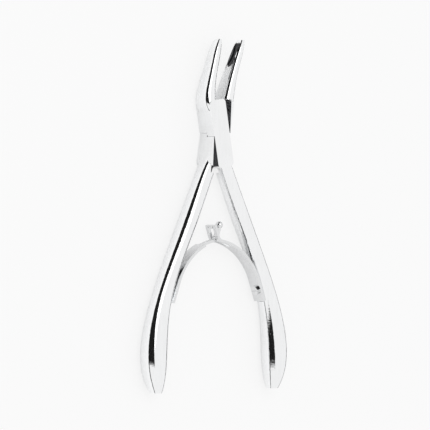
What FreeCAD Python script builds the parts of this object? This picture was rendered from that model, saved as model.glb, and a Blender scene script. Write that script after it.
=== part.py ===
import FreeCAD, Part
import math
import os

import Sketcher

# Slender bone rongeur, lying on the flat back of its joint.
# X runs across the handles, Y from the handles to the jaws, Z up along the pivot.
# The origin is on the pivot axis, in the plane of the joint's back face.

V = FreeCAD.Vector
Z_AXIS = V(0, 0, 1)

SIZES = {
    # lap joint
    "joint_deep": 9.0,
    "bar_wide": 8.0,
    "bar_up": 14.2,
    "bar_down": 13.0,
    "bar_corner": 1.6,
    "bar_tilt": 10.0,
    "jaw_travel": 13.0,
    "lap_gap": 0.06,
    "side_gap": 0.15,
    "crotch_room": 2.2,
    # pivot pin
    "pin_core_radius": 1.9,
    "pin_head_radius": 3.1,
    "pin_head_deep": 1.4,
    "pin_gap": 0.05,
    # handles: a straight shank and an arc that brings the grip upright
    "shank_start": 7.0,
    "shank_out": 1.4,
    "shank_angle": 25.0,
    "arc_start": 55.0,
    "arc_radius": 81.0,
    "handle_end": 102.2,
    "shank_share": 0.45,
    "neck_wide": 6.2,
    "neck_deep": 8.6,
    "shank_wide": 7.6,
    "shank_deep": 7.4,
    "belly_at": 80.0,
    "belly_wide": 10.2,
    "belly_deep": 9.0,
    "heel_at": 97.5,
    "heel_wide": 8.0,
    "heel_deep": 8.0,
    "end_wide": 4.6,
    "end_deep": 4.8,
    # jaws, bowed to the right; each station is a distance up from the pivot
    "jaw_root_at": 9.0,
    "jaw_base_at": 17.5,
    "jaw_bow_at": 24.0,
    "jaw_cup_at": 31.0,
    "jaw_tip_at": 38.4,
    "left_root_x": -3.4,
    "left_base_x": -4.6,
    "left_bow_x": -3.0,
    "left_cup_x": -0.9,
    "left_tip_x": 1.6,
    "right_root_x": 3.4,
    "right_base_x": 5.6,
    "right_bow_x": 7.8,
    "right_cup_x": 10.6,
    "right_tip_x": 13.5,
    "jaw_root_wide": 5.0,
    "jaw_base_wide": 5.2,
    "jaw_bow_wide": 4.2,
    "jaw_cup_wide": 3.8,
    "jaw_tip_wide": 1.7,
    "jaw_root_deep": 8.7,
    "jaw_base_deep": 8.2,
    "jaw_bow_deep": 6.8,
    "jaw_cup_deep": 5.8,
    "jaw_tip_deep": 3.4,
    "corner_share": 0.42,
    "cup_long": 12.0,
    "cup_wide": 3.6,
    "cup_deep": 1.5,
    "cup_up": 33.2,
    # leaf springs and their screws
    "seat_at": 62.0,
    "seat_x": 22.6,
    "seat_angle": 20.0,
    "seat_half": 5.2,
    "seat_wide": 8.0,
    "seat_corner": 0.3,
    "leaf_thick": 1.1,
    "leaf_deep": 6.0,
    "leaf_root_gap": 0.4,
    "leaf_rise": 4.0,
    "leaf_radius": 25.5,
    "leaf_turn": 60.0,
    "hook_radius": 2.4,
    "hook_turn": 62.0,
    "hook_long": 4.6,
    "tongue_deep": 2.2,
    "tongue_gap": 0.35,
    "bead_radius": 1.5,
    "spring_screw_radius": 1.1,
    "spring_screw_head": 2.0,
    "spring_screw_head_high": 0.9,
    "spring_screw_long": 3.6,
    "spring_slot_wide": 0.56,
    "spring_slot_deep": 0.45,
    # how far a cut starts and ends outside the metal
    "run_out": 1.0,
}

doc = FreeCAD.newDocument("bone_rongeur")
sheet = doc.addObject("Spreadsheet::Sheet", "Sizes")
for row, (alias, value) in enumerate(SIZES.items(), start=1):
    sheet.set(f"A{row}", alias)
    sheet.set(f"B{row}", str(value))
    sheet.setAlias(f"B{row}", alias)
doc.recompute()

MID = "Sizes.joint_deep / 2"
THROUGH = "Sizes.joint_deep + 2 * Sizes.run_out"
DRIFT = "(Sizes.arc_start - Sizes.shank_start) * tan(Sizes.shank_angle)"


def size(alias):
    """One driving size as a number."""
    return float(sheet.get(alias))


def bind(item, **links):
    """Ties properties to the sheet; a double underscore stands for a dot."""
    for path, expression in links.items():
        item.setExpression(path.replace("__", "."), expression)


def new_body(label):
    """An empty body whose label is its node's name."""
    body = doc.addObject("PartDesign::Body", label)
    body.Label = label
    return body


def new_sketch(body, name, plane):
    """A sketch on one of the body's own origin planes."""
    sketch = body.newObject("Sketcher::SketchObject", name)
    base = next(f for f in body.Origin.OriginFeatures if f.Role == plane)
    sketch.AttachmentSupport = [(base, "")]
    sketch.MapMode = "FlatFace"
    sketch.AttachmentOffset = FreeCAD.Placement(V(0, 0, 0), FreeCAD.Rotation(Z_AXIS, 1))
    sketch.setExpression("AttachmentOffset.Rotation.Angle", "0")
    return sketch


def constrain(sketch, name, expression, *facts):
    """One dimension of a sketch, tied to the sheet."""
    index = sketch.addConstraint(Sketcher.Constraint(*facts))
    sketch.renameConstraint(index, name)
    sketch.setExpression(f"Constraints.{name}", expression)


def rounded_box(sketch, wide, tall, corner, x="0", y="0"):
    """A rectangle with rounded corners about (x, y), each size an expression."""
    half_w, half_h, r = 4.0, 3.0, 1.0
    corners = [(1, 1), (-1, 1), (-1, -1), (1, -1)]
    for i, (sx, sy) in enumerate(corners):
        start = 90 * i
        centre = V(sx * (half_w - r), sy * (half_h - r), 0)
        circle = Part.Circle(centre, Z_AXIS, r)
        sketch.addGeometry(Part.ArcOfCircle(circle, math.radians(start), math.radians(start + 90)))
    sides = [
        (V(half_w - r, half_h, 0), V(r - half_w, half_h, 0)),
        (V(-half_w, half_h - r, 0), V(-half_w, r - half_h, 0)),
        (V(r - half_w, -half_h, 0), V(half_w - r, -half_h, 0)),
        (V(half_w, r - half_h, 0), V(half_w, half_h - r, 0)),
    ]
    for start, end in sides:
        sketch.addGeometry(Part.LineSegment(start, end))
    for i in range(4):
        sketch.addConstraint(Sketcher.Constraint("Tangent", i, 2, 4 + i, 1))
        sketch.addConstraint(Sketcher.Constraint("Tangent", 4 + i, 2, (i + 1) % 4, 1))
    for i in (4, 6):
        sketch.addConstraint(Sketcher.Constraint("Horizontal", i))
    for i in (5, 7):
        sketch.addConstraint(Sketcher.Constraint("Vertical", i))
    for i in (1, 2, 3):
        sketch.addConstraint(Sketcher.Constraint("Equal", 0, i))
    constrain(sketch, "corner", corner, "Radius", 0, r)
    constrain(sketch, "wide", wide, "DistanceX", 5, 1, 7, 1, 2 * half_w)
    constrain(sketch, "tall", tall, "DistanceY", 6, 1, 4, 1, 2 * half_h)
    constrain(sketch, "right", f"{x} + ({wide}) / 2", "DistanceX", -1, 1, 7, 1, half_w)
    constrain(sketch, "top", f"{y} + ({tall}) / 2", "DistanceY", -1, 1, 4, 1, half_h)


def section(body, name, at, x, wide, deep):
    """A rounded section across the arm at a distance along Y."""
    sketch = new_sketch(body, name, "XZ_Plane")
    bind(sketch, AttachmentOffset__Base__z=f"-({at})")
    shorter = f"({wide} < {deep} ? {wide} : {deep})"
    rounded_box(sketch, wide, deep, f"Sizes.corner_share * {shorter}", x, MID)
    return sketch


def loft(body, name, sections):
    """A smooth solid through the sections."""
    feature = body.newObject("PartDesign::AdditiveLoft", name)
    feature.Profile = sections[0]
    feature.Sections = sections[1:]
    return feature


def flat_sketch(body, name, height, turn="0", x="0", y="0"):
    """A sketch parallel to the joint's faces, turned about Z."""
    sketch = new_sketch(body, name, "XY_Plane")
    bind(
        sketch,
        AttachmentOffset__Base__x=x,
        AttachmentOffset__Base__y=y,
        AttachmentOffset__Base__z=height,
        AttachmentOffset__Rotation__Angle=turn,
    )
    return sketch


def pad(body, name, sketch, length):
    """Material upwards from a sketch."""
    feature = body.newObject("PartDesign::Pad", name)
    feature.Profile = sketch
    bind(feature, Length=length)
    return feature


def cut(body, name, sketch, depth, upwards=True):
    """Removes material from a sketch, and checks that some went."""
    doc.recompute()
    before = body.Shape.Volume
    feature = body.newObject("PartDesign::Pocket", name)
    feature.Profile = sketch
    feature.Reversed = upwards
    bind(feature, Length=depth)
    doc.recompute()
    if body.Shape.Volume >= before - 1e-6:
        raise ValueError(f"{name} removes nothing")
    return feature


def circle_sketch(body, name, radius, height):
    """A circle about the pivot."""
    sketch = flat_sketch(body, name, height)
    sketch.addGeometry(Part.Circle(V(0, 0, 0), Z_AXIS, 2))
    sketch.addConstraint(Sketcher.Constraint("Coincident", 0, 3, -1, 1))
    constrain(sketch, "radius", radius, "Radius", 0, 2)
    return sketch


def handle_stations(side):
    """Place and size of the handle's sections, from the joint to the end."""
    arc = "Sizes.arc_radius"
    drop = "(sqrt(1 - pow(%s; 2)) - cos(Sizes.shank_angle))"
    bend = f"Sizes.shank_out + {DRIFT} + {arc} * {drop}"
    reach = f"(sin(Sizes.shank_angle) - (%s - Sizes.arc_start) / {arc})"
    straight = "Sizes.shank_out + (%s - Sizes.shank_start) * tan(Sizes.shank_angle)"
    stations = [
        ("neck", "Sizes.shank_start", "neck", straight),
        ("shank", "(Sizes.shank_start + Sizes.arc_start) * Sizes.shank_share", "shank", straight),
        ("spring", "Sizes.arc_start", "shank", straight),
        ("belly", "Sizes.belly_at", "belly", bend),
        ("heel", "Sizes.heel_at", "heel", bend),
        ("end", "Sizes.handle_end", "end", bend),
    ]
    for name, at, width, place in stations:
        x = place % at if place is straight else place % (reach % at)
        yield name, f"-({at})", f"{side} * ({x})", f"Sizes.{width}_wide", f"Sizes.{width}_deep"


def jaw_stations(hand):
    """Place and size of the jaw's sections, from the joint to the tip."""
    for name in ("root", "base", "bow", "cup", "tip"):
        at, x = f"Sizes.jaw_{name}_at", f"Sizes.{hand}_{name}_x"
        yield name, at, x, f"Sizes.jaw_{name}_wide", f"Sizes.jaw_{name}_deep"


def forged_arm(label, hand, handle_side):
    """One forging: a handle, half of the lap joint and the jaw across from the handle."""
    body = new_body(label)
    front = label == "front_arm"
    tilt = "Sizes.bar_tilt" if front else "-Sizes.bar_tilt"
    travel = "Sizes.jaw_travel" if front else "-Sizes.jaw_travel"
    other = f"({tilt}) * -1"

    bar = flat_sketch(body, "bar_outline", "0", tilt)
    long = "Sizes.bar_up + Sizes.bar_down"
    middle = "(Sizes.bar_up - Sizes.bar_down) / 2"
    rounded_box(bar, "Sizes.bar_wide", long, "Sizes.bar_corner", "0", middle)
    pad(body, "bar", bar, "Sizes.joint_deep")

    handle = [section(body, f"handle_{s[0]}", *s[1:]) for s in handle_stations(handle_side)]
    loft(body, "handle", handle)
    jaw = [section(body, f"jaw_{s[0]}", *s[1:]) for s in jaw_stations(hand)]
    loft(body, "jaw", jaw)

    floor = "-Sizes.run_out" if front else f"{MID} - Sizes.lap_gap / 2"
    depth = f"{MID} + Sizes.lap_gap / 2 + Sizes.run_out"
    wide = "Sizes.bar_wide + 2 * Sizes.side_gap"
    reach = f"{long} + 2 * Sizes.side_gap + Sizes.crotch_room"
    lower = f"{middle} - Sizes.crotch_room / 2"
    turns = {"rest": other, "closed": f"{other} + {travel}", "half": f"{other} + ({travel}) / 2"}
    for name, turn in turns.items():
        recess = flat_sketch(body, f"recess_{name}_outline", floor, turn)
        rounded_box(recess, wide, reach, "Sizes.side_gap", "0", lower)
        cut(body, f"recess_{name}", recess, depth)

    gap = "" if front else " + Sizes.pin_gap"
    core = circle_sketch(body, "pin_core_circle", f"Sizes.pin_core_radius{gap}", "-Sizes.run_out")
    cut(body, "pin_hole", core, THROUGH)
    if not front:
        wider = "Sizes.pin_head_radius + Sizes.pin_gap"
        head = circle_sketch(body, "pin_head_circle", wider, "-Sizes.run_out")
        cut(body, "pin_head_seat", head, "Sizes.run_out + Sizes.pin_head_deep + Sizes.pin_gap")

    seat_turn = f"{handle_side} * Sizes.seat_angle"
    seat_x = f"{handle_side} * Sizes.seat_x"
    seat = flat_sketch(body, "seat_outline", "-Sizes.run_out", seat_turn, seat_x, "-Sizes.seat_at")
    inwards = f"{-handle_side} * Sizes.seat_wide / 2"
    rounded_box(seat, "Sizes.seat_wide", "2 * Sizes.seat_half", "Sizes.seat_corner", inwards, "0")
    cut(body, "spring_seat", seat, THROUGH)
    return body


def spoon(body, hand, inward):
    """The cup ground into the jaw's biting face by the round rim of a disc."""
    run = "(Sizes.jaw_tip_at - Sizes.jaw_cup_at)"
    drift = f"(Sizes.{hand}_tip_x - Sizes.{hand}_cup_x)"
    lean = f"atan({drift} / {run})"
    share = f"(Sizes.cup_up - Sizes.jaw_cup_at) / {run}"
    face_x = f"Sizes.{hand}_cup_x + {drift} * {share} + {inward} * Sizes.jaw_cup_wide / 2"
    rim = "(pow(Sizes.cup_long / 2; 2) + pow(Sizes.cup_deep; 2)) / (2 * Sizes.cup_deep)"
    away = f"{inward} * ({rim} - Sizes.cup_deep)"
    sketch = new_sketch(body, "cup_profile", "XZ_Plane")
    bind(
        sketch,
        AttachmentOffset__Base__x=f"{face_x} + {away} * cos({lean})",
        AttachmentOffset__Base__y=MID,
        AttachmentOffset__Base__z=f"{away} * sin({lean}) - Sizes.cup_up",
    )
    half, centre = 1.8, inward * 11.0
    turn = 0 if inward > 0 else math.pi
    circle = Part.Circle(V(centre, 0, 0), Z_AXIS, half)
    sketch.addGeometry(Part.ArcOfCircle(circle, turn - math.pi / 2, turn + math.pi / 2))
    first, last = V(centre, -inward * half, 0), V(centre, inward * half, 0)
    sketch.addGeometry(Part.LineSegment(last, V(0, last.y, 0)))
    sketch.addGeometry(Part.LineSegment(V(0, last.y, 0), V(0, first.y, 0)))
    sketch.addGeometry(Part.LineSegment(V(0, first.y, 0), first))
    sketch.addConstraint(Sketcher.Constraint("Tangent", 0, 2, 1, 1))
    sketch.addConstraint(Sketcher.Constraint("Coincident", 1, 2, 2, 1))
    sketch.addConstraint(Sketcher.Constraint("Coincident", 2, 2, 3, 1))
    sketch.addConstraint(Sketcher.Constraint("Tangent", 3, 2, 0, 1))
    sketch.addConstraint(Sketcher.Constraint("PointOnObject", 0, 3, -1))
    sketch.addConstraint(Sketcher.Constraint("PointOnObject", 2, 1, -2))
    sketch.addConstraint(Sketcher.Constraint("Vertical", 2))
    sketch.addConstraint(Sketcher.Constraint("Horizontal", 1))
    constrain(sketch, "rim", "Sizes.cup_wide / 2", "Radius", 0, half)
    ends = (-1, 1, 0, 3) if inward > 0 else (0, 3, -1, 1)
    constrain(sketch, "reach", f"{rim} - Sizes.cup_wide / 2", "DistanceX", *ends, abs(centre))
    doc.recompute()
    before = body.Shape.Volume
    groove = body.newObject("PartDesign::Groove", "cup")
    groove.Profile = sketch
    groove.ReferenceAxis = (sketch, ["V_Axis"])
    groove.Angle = 360
    doc.recompute()
    if body.Shape.Volume >= before:
        raise ValueError("the cup removes nothing")


def turned_piece(label, steps):
    """A turned piece about Z from steps of (radius, height), each an expression."""
    body = new_body(label)
    base = "0"
    for i, (radius, height) in enumerate(steps):
        pad(body, f"turn_{i}", circle_sketch(body, f"turn_{i}_circle", radius, base), height)
        base = f"{base} + {height}"
    return body


def pivot_pin():
    """The riveted joint pin: a wide end flush with the back face, the other flush with the front."""
    return turned_piece(
        "pivot_pin",
        [
            ("Sizes.pin_head_radius", "Sizes.pin_head_deep"),
            ("Sizes.pin_core_radius", "(Sizes.joint_deep - Sizes.pin_head_deep)"),
        ],
    )


def on_seat(body, side):
    """Stands a spring's piece on its handle's seat, at half the joint's depth."""
    body.Placement = FreeCAD.Placement(V(0, 0, 0), FreeCAD.Rotation(Z_AXIS, 1))
    bind(
        body,
        Placement__Base__x=f"{side} * Sizes.seat_x",
        Placement__Base__y="-Sizes.seat_at",
        Placement__Base__z=MID,
        Placement__Rotation__Angle=f"{side} * Sizes.seat_angle",
    )


def leaf_outline(side, upto, thick_from, thick_to):
    """The leaf's edge view between two faces, in its seat's frame, as far as an angle of its arc."""
    inward = -side
    low, rise = size("leaf_root_gap") - size("seat_half"), size("leaf_rise")
    radius, turn = size("leaf_radius"), math.radians(size("leaf_turn"))
    hook, hook_turn = size("hook_radius"), math.radians(size("hook_turn"))
    whole = upto >= turn
    last = min(upto, turn)

    def polar(centre, distance, angle):
        return V(centre.x + distance * math.cos(angle) * inward, centre.y + distance * math.sin(angle), 0)

    def face(offset):
        """Points of one face: root, bend, arc, and the hook where the strip is whole."""
        centre = V(radius * inward, rise, 0)
        arc = radius - offset
        points = [V(offset * inward, low, 0), V(offset * inward, rise, 0)]
        points += [polar(centre, arc, math.pi - last / 2), polar(centre, arc, math.pi - last)]
        if whole:
            hook_centre = polar(centre, radius + hook, math.pi - turn)
            points += [polar(hook_centre, hook + offset, share * hook_turn - turn) for share in (0.5, 1)]
            heading = math.pi / 2 - turn + hook_turn
            points.append(polar(points[-1], size("hook_long"), heading))
        return points

    near, far = face(thick_from), face(thick_to)
    edges = [Part.LineSegment(near[0], far[0])]
    for p in (near, far):
        edges += [Part.LineSegment(p[0], p[1]), Part.Arc(p[1], p[2], p[3])]
        if whole:
            edges += [Part.Arc(p[3], p[4], p[5]), Part.LineSegment(p[5], p[6])]
    edges.append(Part.LineSegment(near[-1], far[-1]))
    wire = Part.Wire(Part.__sortEdges__([e.toShape() for e in edges]))
    return Part.Face(wire), near[-1], far[-1]


def strip(side, upto, deep, thick_from, thick_to):
    """A stretch of the leaf, centred on its seat's height."""
    face, near, far = leaf_outline(side, upto, thick_from, thick_to)
    face.translate(V(0, 0, -deep / 2))
    return face.extrude(V(0, 0, deep)), (near + far) / 2


def leaf_spring(label, side, slotted):
    """A bent leaf: flat root, long arc to the middle, and a hook that crosses its twin's."""
    thick, deep, tongue = size("leaf_thick"), size("leaf_deep"), size("tongue_deep")
    whole = math.radians(size("leaf_turn"))
    shoulder = whole - size("leaf_deep") / size("leaf_radius")
    if slotted:
        leaf, tip = strip(side, whole, deep, 0, thick)
        opening, _ = strip(side, whole, tongue + 2 * size("tongue_gap"), -1, thick + 1)
        root, _ = strip(side, shoulder, deep, -2, thick + 2)
        bridge = Part.makeSphere(size("bead_radius"), tip)
        leaf = leaf.cut(opening.cut(root).cut(bridge))
    else:
        leaf, tip = strip(side, whole, tongue, 0, thick)
        root, _ = strip(side, shoulder, deep, 0, thick)
        leaf = leaf.fuse(root).fuse(Part.makeSphere(size("bead_radius"), tip)).removeSplitter()
    bore = size("spring_screw_radius") + size("pin_gap")
    leaf = leaf.cut(Part.makeCylinder(bore, 4 * thick, V(-2 * thick, 0, 0), V(1, 0, 0)))
    feature = doc.addObject("Part::Feature", label)
    feature.Label = label
    feature.Shape = leaf.Solids[0] if leaf.Solids else leaf
    on_seat(feature, side)
    return feature


def spring_screw(label, side):
    """Holds a leaf's root on its handle; its head lies on the leaf."""
    body = turned_piece(
        label,
        [
            ("Sizes.spring_screw_radius", "(Sizes.spring_screw_long + Sizes.leaf_thick)"),
            ("Sizes.spring_screw_head", "Sizes.spring_screw_head_high"),
        ],
    )
    top = "Sizes.spring_screw_long + Sizes.leaf_thick + Sizes.spring_screw_head_high"
    slot = flat_sketch(body, "slot_outline", f"{top} - Sizes.spring_slot_deep")
    rounded_box(slot, "3 * Sizes.spring_screw_head", "Sizes.spring_slot_wide", "Sizes.spring_slot_wide / 8")
    cut(body, "slot", slot, "Sizes.run_out + Sizes.spring_slot_deep")
    turn = FreeCAD.Rotation(Z_AXIS, side * size("seat_angle"))
    lay = FreeCAD.Rotation(V(0, 1, 0), -side * 90)
    body.Placement = FreeCAD.Placement(V(0, 0, 0), turn * lay)
    bind(
        body,
        Placement__Base__x=f"{side} * (Sizes.seat_x + Sizes.spring_screw_long * cos(Sizes.seat_angle))",
        Placement__Base__y="Sizes.spring_screw_long * sin(Sizes.seat_angle) - Sizes.seat_at",
        Placement__Base__z=MID,
    )
    return body


def spring_screw_hole(body, side):
    """The tapped hole in the handle's seat."""
    sketch = new_sketch(body, "spring_hole_circle", "YZ_Plane")
    sketch.AttachmentOffset = FreeCAD.Placement(V(0, 0, 0), FreeCAD.Rotation(V(0, 1, 0), 1))
    bind(
        sketch,
        AttachmentOffset__Base__x="-Sizes.seat_at",
        AttachmentOffset__Base__y=MID,
        AttachmentOffset__Base__z=f"{side} * Sizes.seat_x",
        AttachmentOffset__Rotation__Angle=f"{side} * Sizes.seat_angle",
    )
    sketch.addGeometry(Part.Circle(V(0, 0, 0), Z_AXIS, 1))
    sketch.addConstraint(Sketcher.Constraint("Coincident", 0, 3, -1, 1))
    constrain(sketch, "radius", "Sizes.spring_screw_radius", "Radius", 0, 1)
    cut(body, "spring_hole", sketch, "Sizes.spring_screw_long", side > 0)


front_arm = forged_arm("front_arm", "left", 1)
spoon(front_arm, "left", 1)
spring_screw_hole(front_arm, 1)
back_arm = forged_arm("back_arm", "right", -1)
spoon(back_arm, "right", -1)
spring_screw_hole(back_arm, -1)
pieces = [
    front_arm,
    back_arm,
    pivot_pin(),
    leaf_spring("left_leaf_spring", -1, False),
    leaf_spring("right_leaf_spring", 1, True),
    spring_screw("left_spring_screw", -1),
    spring_screw("right_spring_screw", 1),
]
doc.recompute()

for item in doc.Objects:
    if "Invalid" in item.State or "Error" in item.State:
        raise ValueError(f"{item.Name} failed: {item.State}")
for piece in pieces:
    if piece.Shape.isNull() or not piece.Shape.isValid() or len(piece.Shape.Solids) != 1:
        raise ValueError(f"{piece.Label} is not one valid solid")

os.makedirs("parts", exist_ok=True)
for piece in pieces:
    piece.Shape.exportStep(f"parts/{piece.Label}.step")
    box = piece.Shape.BoundBox
    print(piece.Label, round(piece.Shape.Volume, 1), box)
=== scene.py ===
"""A slender bone rongeur in mirror-polished steel, lying on a pale table under soft studio light."""

from __future__ import annotations

import logging
import math
from dataclasses import dataclass, field
from enum import Enum

import bmesh
import bpy
from mathutils import Matrix, Vector

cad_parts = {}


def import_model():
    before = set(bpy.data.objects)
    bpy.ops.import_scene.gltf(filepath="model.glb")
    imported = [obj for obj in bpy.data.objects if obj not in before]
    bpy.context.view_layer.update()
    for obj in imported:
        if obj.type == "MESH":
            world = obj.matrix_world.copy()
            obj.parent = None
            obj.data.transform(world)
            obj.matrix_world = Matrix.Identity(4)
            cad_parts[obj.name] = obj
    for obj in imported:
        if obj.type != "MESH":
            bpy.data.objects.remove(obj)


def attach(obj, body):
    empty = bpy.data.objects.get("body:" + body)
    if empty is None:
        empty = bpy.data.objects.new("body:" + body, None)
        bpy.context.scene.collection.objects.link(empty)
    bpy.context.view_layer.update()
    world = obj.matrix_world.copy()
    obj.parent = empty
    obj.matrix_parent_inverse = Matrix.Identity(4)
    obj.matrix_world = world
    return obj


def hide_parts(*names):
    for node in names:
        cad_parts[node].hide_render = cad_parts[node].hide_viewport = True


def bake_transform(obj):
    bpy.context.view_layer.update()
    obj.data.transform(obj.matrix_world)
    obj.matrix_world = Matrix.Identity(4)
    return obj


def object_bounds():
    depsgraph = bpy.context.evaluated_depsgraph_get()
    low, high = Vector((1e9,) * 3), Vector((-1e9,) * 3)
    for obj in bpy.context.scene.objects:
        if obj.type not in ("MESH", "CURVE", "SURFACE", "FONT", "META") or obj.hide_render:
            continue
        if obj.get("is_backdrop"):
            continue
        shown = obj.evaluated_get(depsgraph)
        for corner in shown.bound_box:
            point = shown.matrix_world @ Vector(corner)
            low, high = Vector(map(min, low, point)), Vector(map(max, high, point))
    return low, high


log = logging.getLogger("rongeur")
MID_HEIGHT = 0.0045


class Side(Enum):
    """The side of the object that a leaf spring stands on."""

    LEFT = "left"
    RIGHT = "right"


@dataclass(frozen=True)
class Shot:
    """The view of the photograph, in metres and degrees."""

    turn: float = 40.0
    metres_per_pixel: float = 0.0004
    pixels: int = 430
    aim: tuple[float, float, float] = (0.0, -0.032, MID_HEIGHT)
    distance: float = 1.3
    sensor_mm: float = 36.0
    clip: tuple[float, float] = (0.01, 100.0)

    def axes(self) -> tuple[Vector, Vector, Vector]:
        """Finds the view's own directions.

        Returns:
            Right, up and backward, towards the camera.
        """
        turn = math.radians(self.turn)
        right = Vector((math.cos(turn), 0.0, math.sin(turn)))
        back = Vector((-math.sin(turn), 0.0, math.cos(turn)))
        return right, Vector((0.0, 1.0, 0.0)), back

    def make_camera(self) -> bpy.types.Object:
        """Stands the camera where the photograph was taken.

        Returns:
            The camera's object.
        """
        data = bpy.data.cameras.new("camera")
        data.sensor_width = self.sensor_mm
        data.lens = self.sensor_mm * self.distance / (self.pixels * self.metres_per_pixel)
        data.clip_start, data.clip_end = self.clip
        camera = bpy.data.objects.new("camera", data)
        bpy.context.scene.collection.objects.link(camera)
        right, up, back = self.axes()
        turned = Matrix((right, up, back)).transposed().to_4x4()
        camera.matrix_world = Matrix.Translation(Vector(self.aim) + back * self.distance) @ turned
        bpy.context.scene.camera = camera
        return camera


class Nodes:
    """A small helper that adds and joins shader nodes in one tree."""

    def __init__(self, tree: bpy.types.NodeTree) -> None:
        """Takes over a node tree and empties it.

        Args:
            tree: The tree to fill.
        """
        self.tree = tree
        tree.nodes.clear()

    def add(self, kind: str, **values: object) -> bpy.types.Node:
        """Adds a node.

        Args:
            kind: The node's type name.
            values: Properties by name, or inputs by name with a leading in_.

        Returns:
            The new node.
        """
        node = self.tree.nodes.new(kind)
        for name, value in values.items():
            if name.startswith("in_"):
                node.inputs[name[3:].replace("_", " ")].default_value = value
            else:
                setattr(node, name, value)
        return node

    def join(self, start: bpy.types.NodeSocket, end: bpy.types.NodeSocket) -> None:
        """Joins two sockets.

        Args:
            start: An output socket.
            end: An input socket.
        """
        self.tree.links.new(start, end)

    def maths(self, operation: str, first: object, second: object = 0.0) -> bpy.types.NodeSocket:
        """Adds a Math node.

        Args:
            operation: The node's operation.
            first: A socket or a number.
            second: A socket or a number.

        Returns:
            Its value socket.
        """
        node = self.add("ShaderNodeMath", operation=operation)
        for socket, value in zip(node.inputs, (first, second)):
            if isinstance(value, bpy.types.NodeSocket):
                self.join(value, socket)
            else:
                socket.default_value = value
        return node.outputs[0]

    def ramp(
        self,
        value: bpy.types.NodeSocket,
        low: float,
        high: float,
        start: float = 0.0,
        end: float = 1.0,
    ) -> bpy.types.NodeSocket:
        """Maps low..high smoothly onto start..end.

        Args:
            value: The value to map.
            low: The value that becomes start.
            high: The value that becomes end.
            start: The result at low and below.
            end: The result at high and above.

        Returns:
            The mapped value's socket.
        """
        node = self.add("ShaderNodeMapRange", interpolation_type="SMOOTHSTEP")
        self.join(value, node.inputs["Value"])
        limits = {"From Min": low, "From Max": high, "To Min": start, "To Max": end}
        for name, number in limits.items():
            node.inputs[name].default_value = number
        return node.outputs["Result"]


@dataclass(frozen=True)
class PolishMarks:
    """The faint marks that a polishing wheel leaves, shared by all the steels."""

    along: float = 0.12
    line_share: float = 0.6
    cloud_share: float = 0.4
    cloud_scale: float = 90.0
    seen: tuple[float, float] = (0.3, 0.7)
    brightness: tuple[float, float] = (0.975, 1.015)

    def build(self) -> bpy.types.NodeTree:
        """Makes the marks as a node group.

        Returns:
            A group with inputs Scale, Roughness, Spread and Colour and outputs Colour, Roughness and Height.
        """
        group = bpy.data.node_groups.new("polish_marks", "ShaderNodeTree")
        number, colour = "NodeSocketFloat", "NodeSocketColor"
        sockets = {
            "INPUT": {"Scale": number, "Roughness": number, "Spread": number, "Colour": colour},
            "OUTPUT": {"Colour": colour, "Roughness": number, "Height": number},
        }
        for way, kinds in sockets.items():
            for name, kind in kinds.items():
                group.interface.new_socket(name, in_out=way, socket_type=kind)
        nodes = Nodes(group)
        given, result = nodes.add("NodeGroupInput"), nodes.add("NodeGroupOutput")
        place = nodes.add("ShaderNodeTexCoord")
        drawn = nodes.add("ShaderNodeMapping", in_Scale=(1.0, self.along, 1.0))
        nodes.join(place.outputs["Object"], drawn.inputs["Vector"])
        lines = nodes.add("ShaderNodeTexNoise", in_Detail=3.0, in_Roughness=0.6)
        nodes.join(drawn.outputs["Vector"], lines.inputs["Vector"])
        nodes.join(given.outputs["Scale"], lines.inputs["Scale"])
        clouds = nodes.add("ShaderNodeTexNoise", in_Scale=self.cloud_scale, in_Detail=2.0)
        nodes.join(place.outputs["Object"], clouds.inputs["Vector"])
        line_part = nodes.maths("MULTIPLY", lines.outputs[0], self.line_share)
        cloud_part = nodes.maths("MULTIPLY", clouds.outputs[0], self.cloud_share)
        mixed = nodes.maths("ADD", line_part, cloud_part)
        centred = nodes.maths("SUBTRACT", mixed, 0.5)
        change = nodes.maths("MULTIPLY", centred, given.outputs["Spread"])
        rough = nodes.maths("ADD", given.outputs["Roughness"], change)
        nodes.join(rough, result.inputs["Roughness"])
        nodes.join(lines.outputs[0], result.inputs["Height"])
        tint = nodes.add("ShaderNodeHueSaturation")
        nodes.join(given.outputs["Colour"], tint.inputs["Color"])
        nodes.join(nodes.ramp(mixed, *self.seen, *self.brightness), tint.inputs["Value"])
        nodes.join(tint.outputs["Color"], result.inputs["Colour"])
        return group


@dataclass(frozen=True)
class Steel:
    """A finish of stainless steel."""

    name: str
    colour: tuple[float, float, float]
    roughness: float
    spread: float
    mark_scale: float
    mark_depth: float
    mark_height: float = 0.00002

    def make(self, marks: bpy.types.NodeTree) -> bpy.types.Material:
        """Builds the finish as a material.

        Args:
            marks: The shared group of polishing marks.

        Returns:
            The material.
        """
        material = bpy.data.materials.new(self.name)
        material.use_nodes = True
        nodes = Nodes(material.node_tree)
        output = nodes.add("ShaderNodeOutputMaterial")
        shader = nodes.add("ShaderNodeBsdfPrincipled", in_Metallic=1.0)
        group = nodes.add("ShaderNodeGroup", node_tree=marks)
        values = {
            "Scale": self.mark_scale,
            "Roughness": self.roughness,
            "Spread": self.spread,
            "Colour": (*self.colour, 1.0),
        }
        for name, value in values.items():
            group.inputs[name].default_value = value
        bump = nodes.add("ShaderNodeBump", in_Strength=self.mark_depth, in_Distance=self.mark_height)
        nodes.join(group.outputs["Height"], bump.inputs["Height"])
        nodes.join(group.outputs["Colour"], shader.inputs["Base Color"])
        nodes.join(group.outputs["Roughness"], shader.inputs["Roughness"])
        nodes.join(bump.outputs["Normal"], shader.inputs["Normal"])
        nodes.join(shader.outputs["BSDF"], output.inputs["Surface"])
        return material


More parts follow.
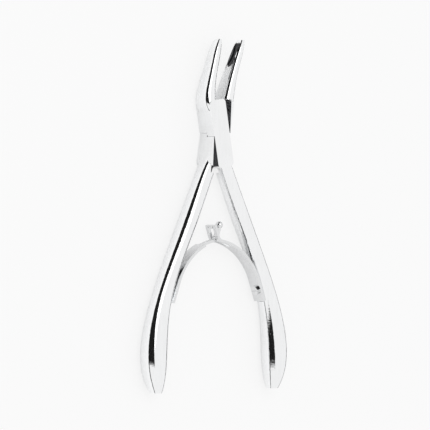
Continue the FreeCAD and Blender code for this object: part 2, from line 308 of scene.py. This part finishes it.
MIRROR_STEEL = Steel("mirror_steel", (0.93, 0.935, 0.94), 0.055, 0.05, 900.0, 0.06)
SPRING_STEEL = Steel("spring_steel", (0.78, 0.785, 0.79), 0.12, 0.08, 700.0, 0.12)
# Near-black colour for the cup and the lap floor: painted shade of these recesses, not the steel's own
# colour.
HOLLOW_PAINTED_SHADE = Steel("hollow_painted_shade", (0.06, 0.06, 0.063), 0.3, 0.1, 500.0, 0.15)
SCREW_STEEL = Steel("screw_steel", (0.80, 0.805, 0.81), 0.16, 0.08, 600.0, 0.12)

MERGE_DISTANCE = 2e-6
SHORTEST_EDGE = 1e-6


def dressed_copy(node: str, name: str, smooth_angle: float) -> bpy.types.Object:
    """A merged, smooth-shaded piece with a CAD node's own shape.

    Args:
        node: The node that the piece stands for.
        name: The new piece's name.
        smooth_angle: Edges sharper than this, in degrees, stay crisp.

    Returns:
        The new object, at the origin with its place in its mesh.
    """
    source = bpy.data.objects[node]
    mesh = source.data.copy()
    mesh.name = name
    mesh.materials.clear()
    shape = bmesh.new()
    shape.from_mesh(mesh)
    bmesh.ops.remove_doubles(shape, verts=shape.verts, dist=MERGE_DISTANCE)
    bmesh.ops.dissolve_degenerate(shape, edges=shape.edges, dist=SHORTEST_EDGE)
    for face in shape.faces:
        face.smooth = True
    limit = math.radians(smooth_angle)
    for edge in shape.edges:
        edge.smooth = edge.is_manifold and edge.calc_face_angle(0.0) < limit
    shape.to_mesh(mesh)
    shape.free()
    if "custom_normal" in mesh.attributes:
        mesh.attributes.remove(mesh.attributes["custom_normal"])
    piece = bpy.data.objects.new(name, mesh)
    bpy.context.scene.collection.objects.link(piece)
    return piece


@dataclass
class Arm:
    """One forging, with a handle, half of the joint and a jaw."""

    node: str
    cup_axis: tuple[float, float]
    cup_reach: float = 0.01279
    cup_half: float = 0.00178
    cup_above: float = 0.025
    lap_height: float = MID_HEIGHT
    lap_reach: float = 0.018
    lap_slack: float = 0.0001
    flat: float = 0.9
    finish: Steel = MIRROR_STEEL
    # The near-black steel that paints shade into the cup and the lap floor.
    painted_shade_finish: Steel = HOLLOW_PAINTED_SHADE
    smooth_angle: float = 24.0

    def gets_painted_shade(self, centre: Vector, normal: Vector) -> bool:
        """Tells the hollows that get painted shade, the cup and the floor of the lap, from the rest.

        Args:
            centre: The middle of a face.
            normal: The face's direction.

        Returns:
            Whether the face gets the painted shade of the hollows.
        """
        from_axis = (centre.xy - Vector(self.cup_axis)).length
        beside = abs(centre.z - self.lap_height)
        in_cup = centre.y > self.cup_above and from_axis < self.cup_reach and beside < self.cup_half
        level = beside < self.lap_slack and abs(normal.z) > self.flat
        return in_cup or (level and abs(centre.y) < self.lap_reach)

    def build(self, marks: bpy.types.NodeTree) -> bpy.types.Object:
        """Makes the polished arm and sets it in the frame.

        Args:
            marks: The shared group of polishing marks.

        Returns:
            The arm's piece.
        """
        piece = dressed_copy(self.node, f"polished_{self.node}", self.smooth_angle)
        piece.data.materials.append(self.finish.make(marks))
        # The second material is painted shade: near-black, for the recesses of the joint.
        painted_shade_material = bpy.data.materials.get(self.painted_shade_finish.name) or self.painted_shade_finish.make(marks)
        piece.data.materials.append(painted_shade_material)
        # Faces in the cup and on the lap floor take the painted shade.
        for face in piece.data.polygons:
            face.material_index = int(self.gets_painted_shade(face.center, face.normal))
        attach(piece, self.node)
        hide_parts(self.node)
        return piece


@dataclass
class LeafSpring:
    """A leaf that bends as the handles close, its hook held by the other leaf's."""

    side: Side
    finish: Steel = SPRING_STEEL
    smooth_angle: float = 30.0
    root: tuple[float, float] = (0.0226, -0.058)
    hook_up: float = -0.0415

    def build(self, marks: bpy.types.NodeTree) -> bpy.types.Object:
        """Makes the leaf.

        Args:
            marks: The shared group of polishing marks.

        Returns:
            The leaf's piece.
        """
        node = f"{self.side.value}_leaf_spring"
        piece = dressed_copy(node, f"bending_{node}", self.smooth_angle)
        piece.data.materials.append(self.finish.make(marks))
        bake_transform(piece)
        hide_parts(node)
        return piece


@dataclass
class SmallSteel:
    """A pin or screw, turned and polished."""

    node: str
    body: str
    finish: Steel
    slot: str
    smooth_angle: float = 30.0

    def build(self, marks: bpy.types.NodeTree) -> bpy.types.Object:
        """Makes the small piece.

        Args:
            marks: The shared group of polishing marks.

        Returns:
            The piece.
        """
        piece = dressed_copy(self.node, f"turned_{self.node}", self.smooth_angle)
        piece.data.materials.append(self.finish.make(marks))
        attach(piece, self.body)
        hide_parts(self.node)
        return piece


@dataclass(frozen=True)
class Studio:
    """A white table and a white room, with a long dark card overhead and a dark rail all round."""

    backdrop: float = 0.947
    surround: float = 0.93
    card_tone: float = 0.012
    card_half_width: float = 0.62
    card_edge: float = 0.03
    card_shift: float = -0.30
    card_end: float = -0.2
    rail_low: float = 0.015
    rail_low_edge: float = 0.01
    rail_high: float = 0.16
    rail_high_edge: float = 0.02
    table_size: float = 4.0
    shadow_share: float = 0.16
    glossy_share: float = 0.25
    lamp_place: tuple[float, float, float] = (-0.3, 0.5, 1.2)
    lamp_size: float = 0.8
    lamp_watts: float = 3.0
    lamp_gloss: float = 0.3

    def table(self, height: float) -> bpy.types.Object:
        """Lays the table under the object.

        Args:
            height: The table's height in metres.

        Returns:
            The table's object, marked as stage.
        """
        shape = bmesh.new()
        bmesh.ops.create_grid(shape, x_segments=1, y_segments=1, size=self.table_size)
        bmesh.ops.translate(shape, verts=shape.verts, vec=(0.0, 0.0, height))
        mesh = bpy.data.meshes.new("table")
        shape.to_mesh(mesh)
        shape.free()
        table = bpy.data.objects.new("table", mesh)
        bpy.context.scene.collection.objects.link(table)
        material = bpy.data.materials.new("white_table")
        material.use_nodes = True
        nodes = Nodes(material.node_tree)
        output = nodes.add("ShaderNodeOutputMaterial")
        tone = (self.backdrop, self.backdrop, self.backdrop, 1.0)
        matt = nodes.add("ShaderNodeBsdfDiffuse", in_Color=tone)
        glow = nodes.add("ShaderNodeEmission", in_Color=tone)
        path = nodes.add("ShaderNodeLightPath")
        straight = nodes.maths("ADD", path.outputs["Is Camera Ray"], path.outputs["Is Transmission Ray"])
        mirrored = nodes.maths("MULTIPLY", path.outputs["Is Glossy Ray"], self.glossy_share)
        shown = nodes.maths("MULTIPLY", straight, 1.0 - self.shadow_share)
        share = nodes.maths("ADD", shown, mirrored)
        mix = nodes.add("ShaderNodeMixShader")
        nodes.join(share, mix.inputs[0])
        nodes.join(matt.outputs[0], mix.inputs[1])
        nodes.join(glow.outputs[0], mix.inputs[2])
        nodes.join(mix.outputs[0], output.inputs["Surface"])
        mesh.materials.append(material)
        table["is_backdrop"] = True
        return table

    def room(self, shot: Shot) -> None:
        """Lights the room, with the dark card and rail that polished steel mirrors.

        Args:
            shot: The view, beside whose axis the card hangs.
        """
        world = bpy.data.worlds.new("white_room")
        bpy.context.scene.world = world
        world.use_nodes = True
        nodes = Nodes(world.node_tree)
        output = nodes.add("ShaderNodeOutputWorld")
        sky = nodes.add("ShaderNodeBackground")
        place = nodes.add("ShaderNodeTexCoord")
        dots = []
        for direction in shot.axes():
            dot = nodes.add("ShaderNodeVectorMath", operation="DOT_PRODUCT")
            nodes.join(place.outputs["Generated"], dot.inputs[0])
            dot.inputs[1].default_value = direction
            dots.append(dot.outputs["Value"])
        across = nodes.maths("ABSOLUTE", nodes.maths("SUBTRACT", dots[0], self.card_shift))
        half, edge, end = self.card_half_width, self.card_edge, self.card_end
        inside = nodes.ramp(across, half - edge, half + edge, 1.0, 0.0)
        above = nodes.ramp(dots[2], 0.0, edge)
        beyond = nodes.ramp(dots[1], end - 2 * edge, end + 2 * edge)
        card_mask = nodes.maths("MULTIPLY", nodes.maths("MULTIPLY", inside, above), beyond)
        height = nodes.add("ShaderNodeSeparateXYZ")
        nodes.join(place.outputs["Generated"], height.inputs[0])
        low, edge = self.rail_low, self.rail_low_edge
        over = nodes.ramp(height.outputs["Z"], low - edge, low + edge)
        high, edge = self.rail_high, self.rail_high_edge
        under = nodes.ramp(height.outputs["Z"], high - edge, high + edge, 1.0, 0.0)
        rail = nodes.maths("MULTIPLY", over, under)
        dark = nodes.maths("MAXIMUM", card_mask, rail)
        path = nodes.add("ShaderNodeLightPath")
        card = nodes.maths("MULTIPLY", dark, path.outputs["Is Glossy Ray"])
        darker = nodes.maths("MULTIPLY", card, self.card_tone - self.surround)
        tone = nodes.maths("ADD", darker, self.surround)
        nodes.join(tone, sky.inputs["Color"])
        nodes.join(sky.outputs[0], output.inputs["Surface"])

    def lamp(self) -> None:
        """Hangs a soft lamp that gives the table its faint shadow."""
        data = bpy.data.lights.new("soft_lamp", "AREA")
        data.size, data.energy = self.lamp_size, self.lamp_watts
        data.specular_factor = self.lamp_gloss
        lamp = bpy.data.objects.new("soft_lamp", data)
        bpy.context.scene.collection.objects.link(lamp)
        lamp.location = self.lamp_place
        lamp.rotation_mode = "QUATERNION"
        lamp.rotation_quaternion = Vector(self.lamp_place).to_track_quat("Z", "Y")


@dataclass
class Rongeur:
    """The whole instrument: two arms, their pin, two leaf springs and their screws."""

    arms: list[Arm] = field(
        default_factory=lambda: [
            Arm("front_arm", (0.0124, 0.0296)),
            Arm("back_arm", (-0.00091, 0.0373)),
        ]
    )
    leaves: list[LeafSpring] = field(default_factory=lambda: [LeafSpring(side) for side in Side])
    small: list[SmallSteel] = field(
        default_factory=lambda: [
            SmallSteel("pivot_pin", "front_arm", MIRROR_STEEL, "polished_steel"),
            SmallSteel("left_spring_screw", "back_arm", SCREW_STEEL, "screw_steel"),
            SmallSteel("right_spring_screw", "front_arm", SCREW_STEEL, "screw_steel"),
        ]
    )

    def build(self) -> None:
        """Builds every piece and reports it."""
        marks = PolishMarks().build()
        for maker in (*self.arms, *self.leaves, *self.small):
            piece = maker.build(marks)
            log.info("%s: %d faces", piece.name, len(piece.data.polygons))


def main() -> None:
    """Loads the frame, then makes the view, the studio and the instrument."""
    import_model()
    cad_low, cad_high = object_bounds()
    shot = Shot()
    shot.make_camera()
    bpy.context.scene.view_settings.view_transform = "Standard"
    studio = Studio()
    studio.table(cad_low.z)
    studio.room(shot)
    studio.lamp()
    Rongeur().build()


if __name__ == "__main__":
    logging.basicConfig(level=logging.INFO)
    main()
